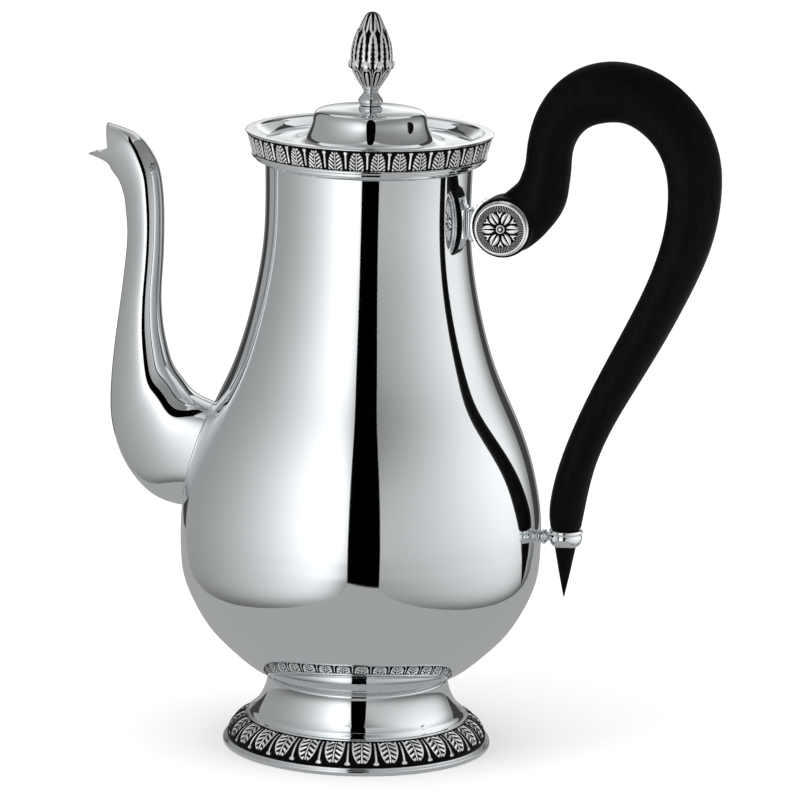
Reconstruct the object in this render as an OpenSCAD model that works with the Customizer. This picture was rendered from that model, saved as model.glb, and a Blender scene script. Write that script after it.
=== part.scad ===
// Silver coffee pot on a flared foot: swan-neck spout, ebonised scroll handle,
// lift-off lid with a bud finial.  Millimetres.  The pot stands on z = 0 with its
// axis on Z, the spout towards -X and the handle towards +X, all in the plane y = 0.

/* [Body] */
// Height of the plain lip above the table
rim_z = 235.4; // [200:0.1:260]
// Outer radius of the plain lip
rim_r = 46.5; // [40:0.1:55]
// Thickness of the raised silver sheet
wall = 1.0; // [0.6:0.1:2]
// Greatest radius of the pear-shaped body
belly_r = 68.1; // [55:0.1:80]
// Radius of the neck just under the leaf border
neck_r = 38.8; // [32:0.1:45]
// Holes of the strainer behind the spout
strainer_hole = 4.0; // [2:0.1:5]

/* [Foot] */
// Outer radius of the plinth ring that stands on the table
foot_r = 50.85; // [40:0.05:60]
// Height of the plinth ring
plinth_h = 2.0; // [1:0.1:5]
// Radius of the narrow neck of the foot
foot_neck_r = 33.3; // [25:0.1:45]
// Number of leaves round the foot
foot_leaves = 28; // [12:1:48]

/* [Leaf borders] */
// Number of leaves in the border round the lip
rim_leaves = 35; // [12:1:60]
// How far a leaf stands out of its border
leaf_relief = 0.55; // [0.2:0.05:1.5]

/* [Lid] */
// Thickness of the lid sheet
lid_wall = 0.9; // [0.5:0.1:2]
// Gap between the lid and the pot
lid_gap = 0.3; // [0.1:0.05:1]
// Height of the finial tip above the table
tip_z = 280; // [260:0.5:300]

/* [Handle] */
// Radius of the scroll end of the grip
scroll_r = 11.3; // [8:0.1:14]
// Half thickness of the grip at the scroll
scroll_half = 7.2; // [5:0.1:10]
// Distance of the scroll centre from the pot axis
scroll_x = 52.3; // [45:0.1:60]
// Height of the scroll centre
scroll_z = 202.6; // [180:0.1:220]
// Distance of the lower ferrule from the pot axis
ferrule_x = 78.7; // [72:0.1:90]
// Height of the middle of the ferrule
ferrule_z = 85.1; // [70:0.1:100]

/* [Hidden] */
brim_r = 38.4 - lid_gap;
$fn = 96;
silver = [0.86, 0.86, 0.88];
dark_silver = [0.55, 0.56, 0.58];
ebony = [0.05, 0.05, 0.05];

// ---- curves ----
function cr(a, b, c, d, t) = 0.5 * (2 * b + (c - a) * t + (2 * a - 5 * b + 4 * c - d) * t * t
    + (3 * b - a - 3 * c + d) * t * t * t);
// smooth curve through the knots P, k steps between two knots
function smooth(P, k) = let (n = len(P)) concat([for (i = [0:n - 2]) for (j = [0:k - 1])
    cr(P[max(0, i - 1)], P[i], P[i + 1], P[min(n - 1, i + 2)], j / k)], [P[n - 1]]);
// the same curve moved a distance t to its left
function inset(C, t) = let (n = len(C)) [for (i = [0:n - 1])
    let (d = C[min(n - 1, i + 1)] - C[max(0, i - 1)]) C[i] + t * [-d[1], d[0]] / norm(d)];
function back(C) = [for (i = [len(C) - 1:-1:0]) C[i]];
module turned(C) { rotate_extrude(convexity = 6) polygon(C); }
module sheet(C, t) { turned(concat(C, back(inset(C, t)))); }

// outline of the body from the underside to the lip, [radius, height]
pear = smooth([[35.4, 29.35], [38.3, 30.1], [41.4, 31.65], [45.2, 34.35], [50.6, 38.75],
    [56, 44.4], [60.6, 51.1], [64.3, 58.2], [66.9, 65.4], [belly_r, 76], [belly_r, 88], [66.6, 99], [62.7, 114.5],
    [56.5, 130], [50, 144.5], [44.6, 161.5], [41.1, 177.5], [38.9, 194], [38.5, 208],
    [neck_r, 223]], 4);
function pear_r(z) = lookup(z, [for (p = pear) [p[1], p[0]]]);
// outline of the floor, from the axis out to the start of the pear
floor_line = smooth([[0.01, 27.4], [14, 27.7], [27, 28.4], [35.4, 29.35]], 4);
function floor_z(r) = lookup(r, floor_line);

// ---- a skin lofted over rings of points ----
module loft(R) {
    n = len(R); m = len(R[0]);
    P = [for (r = R) for (p = r) p];
    side = [for (i = [0:n - 2]) for (j = [0:m - 1]) let (k = (j + 1) % m,
        a = i * m + j, b = i * m + k, c = (i + 1) * m + k, d = (i + 1) * m + j)
        each [[a, b, c], [a, c, d]]];
    polyhedron(P, concat([[for (j = [m - 1:-1:0]) j]], side,
        [[for (j = [0:m - 1]) (n - 1) * m + j]]), convexity = 8);
}
// a closed tube wall: outer rings A, inner rings B, open at both ends
module tube_wall(A, B) {
    n = len(A); m = len(A[0]);
    P = concat([for (r = A) for (p = r) p], [for (r = B) for (p = r) p]);
    o = n * m;
    F = [for (i = [0:n - 2]) for (j = [0:m - 1]) let (k = (j + 1) % m,
        a = i * m + j, b = i * m + k, c = (i + 1) * m + k, d = (i + 1) * m + j)
        each [[a, b, c], [a, c, d], [o + a, o + c, o + b], [o + a, o + d, o + c]]];
    E = [for (j = [0:m - 1]) let (k = (j + 1) % m, e = (n - 1) * m)
        each [[j, o + j, o + k], [j, o + k, k],
            [e + j, e + k, o + e + k], [e + j, o + e + k, o + e + j]]];
    polyhedron(P, concat(F, E), convexity = 8);
}

// one leaf, w wide and h tall, base at the origin, in the XY plane
module leaf_shape(w, h) {
    polygon(concat([[-0.36 * w, 0], [0.36 * w, 0]],
        [for (a = [0:20:180]) [0.5 * w * cos(a), 0.55 * h + 0.45 * h * sin(a)]]));
}
// the dart between two leaves, ending in a bead
module dart_shape(w, h) {
    translate([-w / 2, 0]) square([w, 0.84 * h]);
    translate([0, 0.84 * h]) circle(r = 0.95 * w, $fn = 16);
}
// posts whose section is a leaf or a dart, n of each round the axis, from the
// point [r, z] outward; lean 90 sends them out level, 0 sends them up
module leaf_posts(n, start, r, z, lean, w, h, long) {
    turn = lean == 0 ? -90 : 90;
    for (i = [0:n - 1]) {
        rotate([0, 0, start + (i + 0.5) * 360 / n]) translate([r, 0, z]) rotate([0, lean, 0])
            rotate([0, 0, turn]) linear_extrude(long) leaf_shape(w, h);
        rotate([0, 0, start + i * 360 / n]) translate([r, 0, z]) rotate([0, lean, 0])
            rotate([0, 0, turn]) linear_extrude(long) dart_shape(0.15 * w, h);
    }
}

// ---- the pot ----
// pear-shaped body raised from sheet, with a floor and a strainer behind the spout
module body_shell() {
    top = [[neck_r, rim_z - 8], [neck_r + 0.2, rim_z - 4.2]];
    C = concat([[0, 27.4]], [for (i = [1:len(floor_line) - 2]) floor_line[i]], pear, top);
    I = inset(C, wall);
    color(silver) difference() {
        turned(concat(C, back(concat([[0, 27.4 + wall]], [for (i = [1:len(I) - 1]) I[i]]))));
        for (r = [-2:2], c = [-1:1])
            translate([-40, 6 * c + (abs(r) % 2) * 3, 106 + 6 * r]) rotate([0, -90, 0])
                cylinder(d = strainer_hole, h = 40, $fn = 24);
    }
}
// plain lip with the flared seat that leads down to the lid
module rim_lip() {
    color(silver) turned([[38.4, rim_z - 3.4], [39.6, rim_z - 2.1], [41, rim_z - 0.9],
        [42.7, rim_z - 0.1], [43.2, rim_z], [46.2, rim_z], [rim_r, rim_z - 0.25],
        [rim_r, rim_z - 0.55], [46.2, rim_z - 0.8], [43.4, rim_z - 0.8], [41.2, rim_z - 2.2],
        [39.1, rim_z - 4.0], [38.4, rim_z - 4.2]]);
}
// border of upright leaves under the lip
module rim_leaf_band() {
    face = [[43.3, rim_z - 8.4], [43.9, rim_z - 6.4], [44.7, rim_z - 3.4], [45.4, rim_z - 0.85]];
    color(dark_silver) union() {
        turned(concat([[39.1, rim_z - 8.4]], face, [[43.4, rim_z - 0.85],
            [41.2, rim_z - 2.25], [39.3, rim_z - 4.0], [39.1, rim_z - 5]]));
        intersection() {
            turned(concat([for (p = face) p - [0.3, 0]], [for (p = back(face)) p + [leaf_relief, 0]]));
            leaf_posts(rim_leaves, 3.7, 40, rim_z - 8.3, 90, 6.2, 7.2, 8);
        }
    }
}
// small beads that close the border below
module rim_bead() {
    color(silver) turned([[39.1, rim_z - 8.45], [43.4, rim_z - 8.45], [43.9, rim_z - 8.8],
        [44, rim_z - 9.3], [43.6, rim_z - 9.8], [42.7, rim_z - 10], [42.3, rim_z - 10.4],
        [42.1, rim_z - 11], [41, rim_z - 11.6], [40.2, rim_z - 12.1], [neck_r, rim_z - 12.8],
        [neck_r, rim_z - 9], [neck_r + 0.1, rim_z - 8.45]]);
}
// ledge inside the neck that carries the lid
module lid_seat() {
    z = rim_z - 4.3;
    color(silver) turned([[36.5, z - 1.2], [36.5, z], [37.85, z], [37.82, z - 2.2], [37.4, z - 2.2]]);
}
// turned collar between body and foot
module foot_collar() {
    color(silver) turned([[32.2, floor_z(32.2)], [33.8, floor_z(33.8)], [35.2, floor_z(35.2)],
        [35.35, 28.8], [35.25, 28.3], [34.8, 27.6], [34.2, 27.35], [33.9, 27.2], [33.6, 26.7],
        [32.2, 26.7]]);
}
// plain flared foot
module foot_pedestal() {
    C = smooth([[41.2, 11.1], [37.8, 14], [35.6, 17.4], [34.1, 21], [33.4, 24.2],
        [foot_neck_r, 26.65]], 5);
    color(silver) sheet(C, wall);
}
// spreading ring of leaves, their tips outward
module foot_leaf_ring() {
    C = [[foot_r - 1.9, 3.2], [48.5, 5.2], [47.2, 7.4], [45.1, 9.4], [43, 10.5], [41.3, 11.2]];
    color(dark_silver) union() {
        sheet(C, wall);
        intersection() {
            sheet([for (p = inset(C, -leaf_relief)) if (p[1] > 3.3 && p[0] > 41.6) p],
                leaf_relief + 0.3);
            leaf_posts(foot_leaves, 8.7, 42.3, 2, 0, 7.6, 6.9, 12);
        }
    }
}
// plinth ring that stands on the table
module foot_plinth() {
    color(silver) turned([[foot_r - 3.4, 0], [foot_r - 0.3, 0], [foot_r, 0.3],
        [foot_r, plinth_h - 0.4], [foot_r - 0.35, plinth_h], [foot_r - 1.6, plinth_h + 0.15],
        [foot_r - 1.2, plinth_h + 0.6], [foot_r - 1.35, plinth_h + 1], [foot_r - 1.9, plinth_h + 1.15],
        [foot_r - 3.1, plinth_h + 0.8], [foot_r - 3.4, plinth_h]]);
}

// ---- spout ----
// stations: [x, z, half height, half width, angle of the section]
spout_knots = [[-66, 107.6, 21.1, 14.6, 73.6], [-73.8, 111.4, 21.6, 14.8, 70.4],
    [-80.3, 117.8, 20.9, 14.3, 63.7], [-84.8, 125.2, 19.1, 13.4, 57.6],
    [-87.2, 133.6, 16.6, 12.3, 49.5], [-87.9, 141.3, 13.9, 11.1, 41.8],
    [-88, 149.3, 11.15, 9.8, 31], [-87.7, 157.8, 8.9, 8.6, 14.7], [-87.3, 166.3, 7.8, 7.7, 5.5],
    [-86.2, 181, 7.24, 7.2, 3.5], [-85.8, 194, 7.03, 7, 3.4], [-86.3, 202, 7.35, 7, 8],
    [-86.9, 207.5, 7.65, 7, 20], [-87.9, 211.9, 8.3, 6.9, 33], [-90.1, 216.9, 8.45, 6.8, 40],
    [-93.5, 221.3, 8.5, 6.5, 46], [-97.25, 224.2, 7.7, 6, 56.4]];
sp_m = 28;
function sp_ring(k, t) = [for (j = [0:sp_m - 1]) let (a = 360 * j / sp_m,
    h = (k[2] - t) * sin(a), w = (k[3] - t) * cos(a))
    [k[0] + h * cos(k[4]), -w, k[1] + h * sin(k[4])]];
// the root ring is carried onto a surface outside the body: d at the sides, e at top and foot
function sp_root(d, e, t) = [for (p = sp_ring(spout_knots[0], t))
    let (s = (p[2] - 107.6) / 20.3, r = pear_r(p[2]) + d + (e - d) * s * s)
    [-sqrt(r * r - p[1] * p[1]), p[1], p[2]]];
// open beak: arched above, drawn out to a point below
function sp_beak(t) = [for (j = [0:sp_m - 1]) let (a = 360 * j / sp_m, s = sin(a),
    y = -(5.4 - t) * cos(a))
    s >= 0 ? [-99.8 - 1.3 * s, y, 223.5 + (9.4 - t) * s]
           : [-99.8 - (8.8 - 2 * t) * pow(-s, 1.3), y, 223.5 - (3 - t) * pow(-s, 0.8)]];
sp_mid = smooth(spout_knots, 2);
function sp_rings(t) = concat([sp_root(1.2, 3.4, t)],
    [for (i = [1:len(sp_mid) - 1]) sp_ring(sp_mid[i], t)], [sp_beak(t)]);
// hollow swan-neck spout with a cut beak
module spout() {
    color(silver) tube_wall(sp_rings(0), sp_rings(1.2));
}
// saddle that joins the spout to the body
module spout_flange() {
    color(silver) tube_wall([sp_root(0.02, 0.02, -1.4), sp_root(0.7, 1.8, -0.7), sp_root(1.15, 3.3, -0.2)],
        [sp_root(0.02, 0.02, 1.2), sp_root(0.7, 1.8, 1.2), sp_root(1.15, 3.3, 1.2)]);
}

// ---- handle ----
// stations: [x, z, half width in the plane of the handle, half thickness]
grip_knots = [[53.6, 202.4, 10.9, 6.8], [57.5, 205.4, 10.9, 7], [62.4, 210.3, 10.4, 7.1],
    [65.2, 214.1, 10, 7.2], [66.9, 219.6, 9.3, 7.2], [67.9, 225, 8.75, 7.25], [68.3, 231, 8.6, 7.3], [70.6, 240.4, 9.1, 7.4], [77, 249.3, 10.3, 7.6], [87, 254.2, 11.3, 7.8],
    [98.5, 254.2, 11.2, 7.9], [109.5, 248.8, 11.1, 7.9], [117.5, 240, 10.8, 7.8],
    [121.9, 229.8, 10.5, 7.7], [123.2, 217, 10, 7.5], [121.2, 202, 9.3, 7.3], [115.6, 185, 8.4, 7.1],
    [107, 166.3, 7.9, 6.9], [97.5, 148, 7.4, 6.6], [88.8, 130.4, 6.75, 6.4], [82.6, 114, 6.6, 6.3],
    [79.6, 101, 6.75, 6.3], [78.7, 93, 6.35, 6.1], [78.7, 88.6, 5.7, 5.7]];
grip_m = 28;
function grip_ring(C, i) = let (n = len(C), d = C[min(n - 1, i + 1)] - C[max(0, i - 1)],
    l = norm([d[0], d[1]]), u = [-d[1], d[0]] / l, k = C[i])
    [for (j = [0:grip_m - 1]) let (a = 360 * j / grip_m)
        [k[0] + u[0] * k[2] * cos(a), k[3] * sin(a), k[1] + u[1] * k[2] * cos(a)]];
module along_y(x, z, r, h) {
    translate([x, h / 2, z]) rotate([90, 0, 0]) cylinder(r = r, h = h);
}
// scrolled grip of ebonised wood
module handle_grip() {
    C = smooth(grip_knots, 2);
    color(ebony) difference() {
        union() {
            loft([for (i = [0:len(C) - 1]) grip_ring(C, i)]);
            along_y(scroll_x, scroll_z, scroll_r, 2 * scroll_half);
        }
        along_y(scroll_x, scroll_z, 1.5, 40);
        translate([ferrule_x, 0, ferrule_z]) cylinder(r = 1.6, h = 14, $fn = 32);
    }
}
// carved boss that caps each side of the scroll, made on z = 0 and facing +Z
module rosette() {
    difference() {
        union() {
            cylinder(r = 10.4, h = 0.9);
            difference() { cylinder(r = 10.4, h = 1.5); translate([0, 0, -1]) cylinder(r = 9.5, h = 4); }
            for (i = [0:35]) rotate([0, 0, 10 * i + 5]) translate([8, -0.3, 0.5]) cube([1.8, 0.6, 0.75]);
            for (i = [0:5]) rotate([0, 0, 60 * i]) {
                translate([4.8, 0, 0.5]) intersection() {
                    translate([0, -2.2, 0]) cylinder(r = 3.6, h = 1.05, $fn = 48);
                    translate([0, 2.2, 0]) cylinder(r = 3.6, h = 1.05, $fn = 48);
                }
                rotate([0, 0, 30]) translate([5.9, 0, 0.5]) cylinder(r = 0.7, h = 0.9, $fn = 20);
            }
            cylinder(r = 1.7, h = 1.9, $fn = 40);
        }
        translate([0, 0, -1]) cylinder(r = 1.5, h = 2.2, $fn = 40);
    }
}
module rosette_front() {
    color(dark_silver) translate([scroll_x, -scroll_half, scroll_z]) rotate([90, 0, 0]) rosette();
}
module rosette_back() {
    color(dark_silver) translate([scroll_x, scroll_half, scroll_z]) rotate([-90, 0, 0]) rosette();
}
// pin through scroll, cup and both rosettes
module scroll_pin() {
    color(silver) along_y(scroll_x, scroll_z, 1.5, 2 * scroll_half + 2.3);
}
// silver cup that clasps the inner side of the scroll
module socket_cup() {
    h = 2 * scroll_half;
    color(silver) intersection() {
        difference() {
            along_y(scroll_x, scroll_z, scroll_r + 1.2, h);
            along_y(scroll_x, scroll_z, scroll_r, h + 2);
        }
        translate([scroll_x - 20, -20, scroll_z - 9]) cube([12, 40, 18.2]);
    }
}
// short flared arm from the neck to the cup
module socket_arm() {
    x0 = neck_r - 0.2;
    x1 = scroll_x - scroll_r - 1.1;
    color(silver) difference() {
        translate([x0 - 1, 0, scroll_z]) rotate([0, 90, 0])
            linear_extrude(x1 - x0 + 3) square([13, 11], center = true);
        along_y(scroll_x, scroll_z, scroll_r + 1.2, 40);
        turned(concat([[0, 180]], [for (p = pear) if (p[1] > 170 && p[1] < 222) p], [[0, 222]]));
    }
}
// little disc soldered to the belly
module link_foot() {
    color(silver) difference() {
        translate([66, 0, ferrule_z]) rotate([0, 90, 0]) cylinder(r = 2.6, h = 3.1);
        body_core();
    }
}
// everything inside the outer skin of the body, at the height of the link
module body_core() {
    turned(concat([[0, 60]], [for (p = pear) if (p[1] > 60 && p[1] < 110) p], [[0, 110]]));
}
// bead between belly and ferrule
module link_bead() {
    x0 = 69.1;
    x1 = ferrule_x - 6.35;
    color(silver) translate([x0, 0, ferrule_z]) rotate([0, 90, 0]) turned([[0, 0], [1.3, 0],
        [2.1, 0.35], [2.75, 1], [2.9, 1.6], [2.7, 2.2], [1.9, 2.8], [1.3, x1 - x0], [0, x1 - x0]]);
}
// ferrule round the foot of the grip
module ferrule() {
    color(silver) difference() {
        translate([ferrule_x, 0, ferrule_z]) turned([[1.6, -3.1], [4.4, -3.1], [5, -2.9], [5.5, -2.4],
            [5.6, -2], [6, -1.2], [6.2, -0.2], [6.2, 0.7], [5.9, 1.3], [5.75, 1.6], [6.1, 1.9],
            [6.45, 2.3], [6.45, 2.8], [6.1, 3.3], [5.8, 3.4], [1.6, 3.4]]);
        translate([ferrule_x - 6.35 - 4, -5, ferrule_z - 2]) cube([4, 10, 4]);
    }
}
// screw that holds tip, ferrule and grip together
module ferrule_screw() {
    color(silver) translate([ferrule_x, 0, ferrule_z - 12]) cylinder(r = 1.6, h = 25, $fn = 32);
}
// pointed drop under the ferrule
module handle_tip() {
    color(ebony) difference() {
        translate([ferrule_x, 0, ferrule_z]) turned([[0, -22.8], [0.25, -22.6], [2, -12.5], [4, -3.3],
            [4, -3.12], [0, -3.12]]);
        translate([ferrule_x, 0, ferrule_z - 12]) cylinder(r = 1.6, h = 12, $fn = 32);
    }
}

// ---- lid ----
dome = smooth([[27.2, rim_z - 3.45], [24.2, rim_z - 2], [22.4, rim_z + 0.6], [21.5, rim_z + 3.2],
    [21.1, rim_z + 5.6], [20, rim_z + 7.2], [17.6, rim_z + 8], [12, rim_z + 8.7],
    [6, rim_z + 9.3], [1.8, rim_z + 9.6]], 3);
// raised dome with a shallow dish and a drop-in brim
module lid_shell() {
    C = concat([[brim_r, rim_z - 3.9], [brim_r, rim_z - 3.35], [brim_r - 0.3, rim_z - 3.2],
        [32, rim_z - 3.5]], dome);
    I = inset([for (i = [3:len(C) - 1]) C[i]], lid_wall);
    n = len(I);
    color(silver) turned(concat(C, [[1.6, rim_z + 9.6], [1.6, rim_z + 9.6 - lid_wall]],
        back([for (i = [0:n - 2]) I[i]]), [[brim_r - 0.2, rim_z - 4.0]]));
}
// tube under the brim that centres the lid in the neck
module lid_bezel() {
    z = rim_z - 4.18;
    color(silver) turned([[35.3, z - 8], [35.8, z - 8.3], [36.2, z - 8], [36.2, z + 0.06], [35.3, z]]);
}
// knop and small foot of the finial
module finial_base() {
    z = rim_z + 9.65;
    color(silver) turned([[1.5, z], [3.9, z - 0.12], [4.2, z + 0.1], [4.1, z + 0.5], [4.5, z + 0.9],
        [4.65, z + 1.5], [4.5, z + 2.2], [4, z + 3], [3.2, z + 4], [2.8, z + 4.8], [1.5, z + 4.8]]);
}
// waist and plain collar above the knop
module finial_waist() {
    z = rim_z + 14.5;
    color(silver) turned([[1.5, z], [2.75, z], [2.7, z + 0.4], [2.9, z + 1], [3.4, z + 1.5],
        [3.5, z + 2], [3.3, z + 2.3], [1.5, z + 2.3]]);
}
// cup of ten fluted leaves
module finial_calyx() {
    z = rim_z + 16.85;
    color(dark_silver) difference() {
        union() {
            turned([[1.5, z], [3.3, z], [5, z + 2.4], [6.6, z + 5], [7.5, z + 7], [7.7, z + 8.6],
                [6.6, z + 9], [1.5, z + 9]]);
            for (i = [0:9]) rotate([0, 0, 36 * i + 15.6]) {
                translate([6.9, 0, z + 8.2]) sphere(r = 1.9, $fn = 24);
                translate([3.4, 0, z + 0.6]) rotate([0, 26, 0]) cylinder(r1 = 0.7, r2 = 1.5, h = 8, $fn = 16);
            }
        }
        translate([0, 0, z + 9]) cylinder(r = 7, h = 4);
    }
}
// closed bud of overlapping bracts
module finial_bud() {
    z = rim_z + 25.9;
    h = tip_z - z;
    C = [[0, h], [2.2, h - 0.5], [4, h - 2], [5.1, h - 4.4], [6, h - 6.8], [6.7, h - 9.6],
        [7.1, h - 12.4], [7.2, h - 15.4], [6.9, 0]];
    color(dark_silver) difference() {
        translate([0, 0, z]) union() {
            turned(concat([[0, 0]], back(C)));
            for (i = [0:9]) rotate([0, 0, 36 * i + 34]) rotate([90, 0, 0]) translate([0, 0, -0.75])
                linear_extrude(1.5) polygon(concat([[0, 0]], back([for (p = C) [p[0] * 1.07, p[1] * 0.99]])));
        }
        translate([0, 0, z - 1]) cylinder(r = 1.5, h = 7, $fn = 32);
    }
}
// threaded stud up the middle of the finial
module finial_stud() {
    color(silver) translate([0, 0, rim_z + 4]) cylinder(r = 1.5, h = 27.4, $fn = 32);
}
// nut inside the dome
module finial_nut() {
    color(silver) translate([0, 0, rim_z + 6.1]) difference() {
        cylinder(r = 3.2, h = 2.4, $fn = 6);
        translate([0, 0, -1]) cylinder(r = 1.5, h = 5, $fn = 32);
    }
}

body_shell();
rim_lip();
rim_leaf_band();
rim_bead();
lid_seat();
foot_collar();
foot_pedestal();
foot_leaf_ring();
foot_plinth();
spout();
spout_flange();
socket_arm();
socket_cup();
handle_grip();
rosette_front();
rosette_back();
scroll_pin();
link_foot();
link_bead();
ferrule();
ferrule_screw();
handle_tip();
lid_shell();
lid_bezel();
finial_base();
finial_waist();
finial_calyx();
finial_bud();
finial_stud();
finial_nut();
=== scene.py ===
"""Looks, light and camera for a footed coffee pot of polished silver with an ebonised handle.

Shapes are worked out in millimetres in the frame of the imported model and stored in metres."""

import math

import bmesh
import bpy
import numpy as np
from mathutils import Matrix, Vector


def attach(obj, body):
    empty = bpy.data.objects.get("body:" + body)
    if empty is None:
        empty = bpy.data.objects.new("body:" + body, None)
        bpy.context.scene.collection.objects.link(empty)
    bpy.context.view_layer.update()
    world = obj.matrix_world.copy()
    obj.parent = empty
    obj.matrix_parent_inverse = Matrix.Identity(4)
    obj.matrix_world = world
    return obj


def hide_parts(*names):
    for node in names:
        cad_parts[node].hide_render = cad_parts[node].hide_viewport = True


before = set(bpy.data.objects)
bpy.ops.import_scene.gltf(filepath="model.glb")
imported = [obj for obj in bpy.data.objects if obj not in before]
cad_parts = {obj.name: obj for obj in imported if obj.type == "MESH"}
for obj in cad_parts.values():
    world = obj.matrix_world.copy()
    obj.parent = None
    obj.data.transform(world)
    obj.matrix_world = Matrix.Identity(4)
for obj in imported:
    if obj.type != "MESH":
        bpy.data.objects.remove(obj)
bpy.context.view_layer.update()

MM = 0.001
TAU = 2 * math.pi
VIEW_AZ = 12.0  # the camera stands this many degrees round from -Y towards +X
VIEW_EL, VIEW_ROLL = 0.20330, 0.0240  # its height above level and its tilt, in radians
VIEW_DISTANCE = 2.01255  # metres from the point it looks at
VIEW_LENS = 240.426  # millimetres, on a sensor 36 mm wide


# ---------------------------------------------------------------- small tools
def ss(a, b, x):
    """Smooth step from 0 at a to 1 at b."""
    t = np.clip((x - a) / (b - a), 0, 1)
    return t * t * (3 - 2 * t)


def natural(P, n, t=None):
    """n points on the smooth curve through the knots P, even in the knots' parameter."""
    P = np.asarray(P, float)
    if t is None:
        t = np.r_[0, np.cumsum(np.sqrt((np.diff(P[:, :2], axis=0) ** 2).sum(1)))]
    m, h = len(P), np.diff(t)
    A, B = np.eye(m), np.zeros_like(P)
    for i in range(1, m - 1):
        A[i, i - 1 : i + 2] = h[i - 1], 2 * (h[i - 1] + h[i]), h[i]
        B[i] = 6 * ((P[i + 1] - P[i]) / h[i] - (P[i] - P[i - 1]) / h[i - 1])
    M = np.linalg.solve(A, B)
    s = np.linspace(t[0], t[-1], n)
    i = np.clip(np.searchsorted(t, s, side="right") - 1, 0, m - 2)
    a, b, hh = (t[i + 1] - s)[:, None], (s - t[i])[:, None], h[i][:, None]
    return (
        (M[i] * a**3 + M[i + 1] * b**3) / (6 * hh)
        + (P[i] / hh - M[i] * hh / 6) * a
        + (P[i + 1] / hh - M[i + 1] * hh / 6) * b
    )


def even(P, n):
    """The polyline P cut into n points at even distances."""
    P = np.asarray(P, float)
    t = np.r_[0, np.cumsum(np.sqrt((np.diff(P, axis=0) ** 2).sum(1)))]
    s = np.linspace(0, t[-1], n)
    return np.stack([np.interp(s, t, P[:, k]) for k in range(P.shape[1])], 1)


def rounded(P, r=0.2, k=4, closed=True):
    """The outline P with each corner eased by about r."""
    P = np.asarray(P, float)
    out, n = [], len(P)
    for i in range(n):
        if not closed and i in (0, n - 1):
            out.append(P[i])
            continue
        a, b, c = P[i - 1], P[i], P[(i + 1) % n]
        la, lc = np.linalg.norm(a - b), np.linalg.norm(c - b)
        p = b + (a - b) / la * min(r, 0.45 * la)
        q = b + (c - b) / lc * min(r, 0.45 * lc)
        for s in np.linspace(0, 1, k):
            out.append((1 - s) ** 2 * p + 2 * s * (1 - s) * b + s * s * q)
    return np.array(out)


def normals(P):
    """Left-hand normals of an open outline of [radius, height]."""
    d = np.gradient(P, axis=0)
    n = np.stack([d[:, 1], -d[:, 0]], 1)
    return n / np.linalg.norm(n, axis=1)[:, None]


def offset(P, t):
    return P + t * normals(P)


def quads(n, m, wrap_n=True, wrap_m=True):
    i = np.arange(n if wrap_n else n - 1)[:, None]
    j = np.arange(m if wrap_m else m - 1)[None, :]
    i2, j2 = (i + 1) % n, (j + 1) % m
    return np.stack([i * m + j, i2 * m + j, i2 * m + j2, i * m + j2], -1).reshape(-1, 4)


def volume(V, F):
    a, b, c, d = (V[F[:, k]] for k in range(4))
    return ((np.cross(a, b) * c).sum() + (np.cross(a, c) * d).sum()) / 6


def piece(name, V, F, material, slot, body="pot", stands_for=(), tone=None, merge=False):
    """A smooth closed mesh object from points in millimetres and four-cornered faces."""
    V, F = np.asarray(V, float).reshape(-1, 3), np.asarray(F)
    if volume(V, F) < 0:
        F = F[:, ::-1]
    me = bpy.data.meshes.new(name)
    me.from_pydata((V * MM).tolist(), [], F.tolist())
    if tone is not None:
        at = me.attributes.new("tone", "FLOAT", "POINT")
        at.data.foreach_set("value", np.asarray(tone, np.float32).ravel())
    if merge:
        bm = bmesh.new()
        bm.from_mesh(me)
        bmesh.ops.remove_doubles(bm, verts=bm.verts, dist=1e-7)
        bmesh.ops.dissolve_degenerate(bm, edges=bm.edges, dist=1e-8)
        bm.to_mesh(me)
        bm.free()
    me.polygons.foreach_set("use_smooth", [True] * len(me.polygons))
    me.materials.append(material)
    ob = bpy.data.objects.new(name, me)
    bpy.context.scene.collection.objects.link(ob)
    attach(ob, body)
    if stands_for:
        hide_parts(*stands_for)
    return ob


def turned(name, P, material, slot, n=288, axis_open=False, place=None, **kw):
    """P turned round the axis: a closed section, or an open one that starts and ends on the axis."""
    P = np.asarray(P, float)
    th = np.arange(n) * TAU / n
    V = np.stack(
        [np.outer(np.cos(th), P[:, 0]), np.outer(np.sin(th), P[:, 0]), np.tile(P[:, 1], (n, 1))], -1
    )
    if place is not None:
        V = place(V)
    return piece(name, V, quads(n, len(P), True, not axis_open), material, slot, merge=axis_open, **kw)


# ------------------------------------------------------------------- materials
def new_material(name):
    m = bpy.data.materials.new(name)
    m.use_nodes = True
    nt = m.node_tree
    return m, nt, nt.nodes["Principled BSDF"]


def node(nt, kind, **values):
    n = nt.nodes.new(kind)
    for key, value in values.items():
        if key in n.inputs:
            n.inputs[key].default_value = value
        else:
            setattr(n, key, value)
    return n


def ramp(nt, source, stops):
    r = nt.nodes.new("ShaderNodeValToRGB")
    e = r.color_ramp.elements
    while len(e) < len(stops):
        e.new(0.5)
    for k, (pos, value) in enumerate(stops):
        e[k].position = pos
        e[k].color = value if len(np.shape(value)) else (value, value, value, 1)
    nt.links.new(source, r.inputs["Fac"])
    return r


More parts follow.
